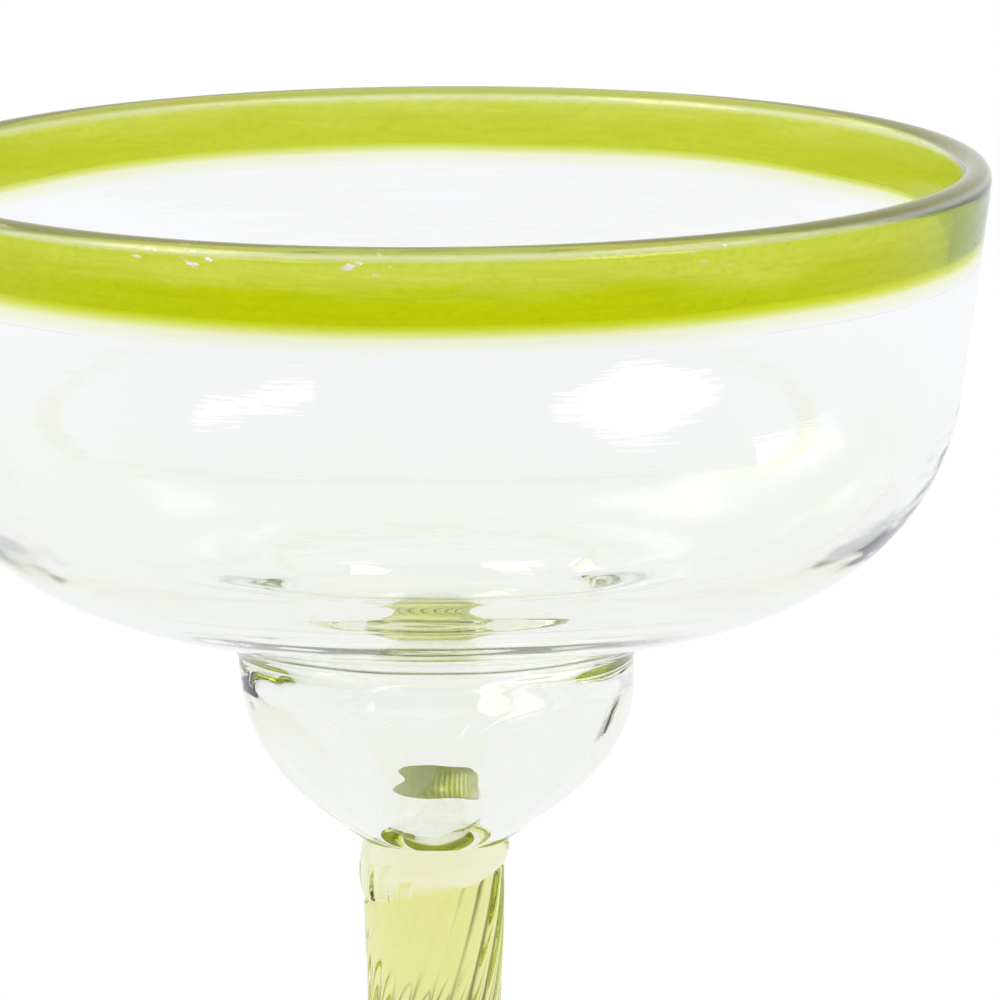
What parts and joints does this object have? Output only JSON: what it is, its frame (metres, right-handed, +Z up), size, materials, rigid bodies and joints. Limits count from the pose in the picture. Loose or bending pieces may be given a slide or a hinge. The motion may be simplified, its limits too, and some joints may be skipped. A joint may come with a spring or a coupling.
{
  "type": "margarita glass",
  "caption": "Hand-blown stemmed cocktail glass: wide clear bowl stepping down to a small round well, lime lip band, clear neck, twisted ribbed green stem and round foot.",
  "frame": {"origin": "middle of the foot's resting plane, under the stem", "axes": "+Z up along the stem to the lip; the picture is taken from -Y, so +X is to its right"},
  "size_m": [0.1196, 0.1196, 0.1716],
  "materials": {
    "lime_glass": "transparent lime glass, fire-polished, faint streaks and a few white scuffs under the lip",
    "clear_glass": "clear soda glass, hand-blown, slightly wavy",
    "pale_glass": "clear glass with a faint green cast, slightly wavy",
    "stem_glass": "transparent yellow-green glass, twisted hot, fire-polished"
  },
  "bodies": {
    "root": {"rim_band": "lime_glass", "bowl": "clear_glass", "neck": "pale_glass", "stem": "stem_glass", "foot": "stem_glass"}
  },
  "joints": []
}
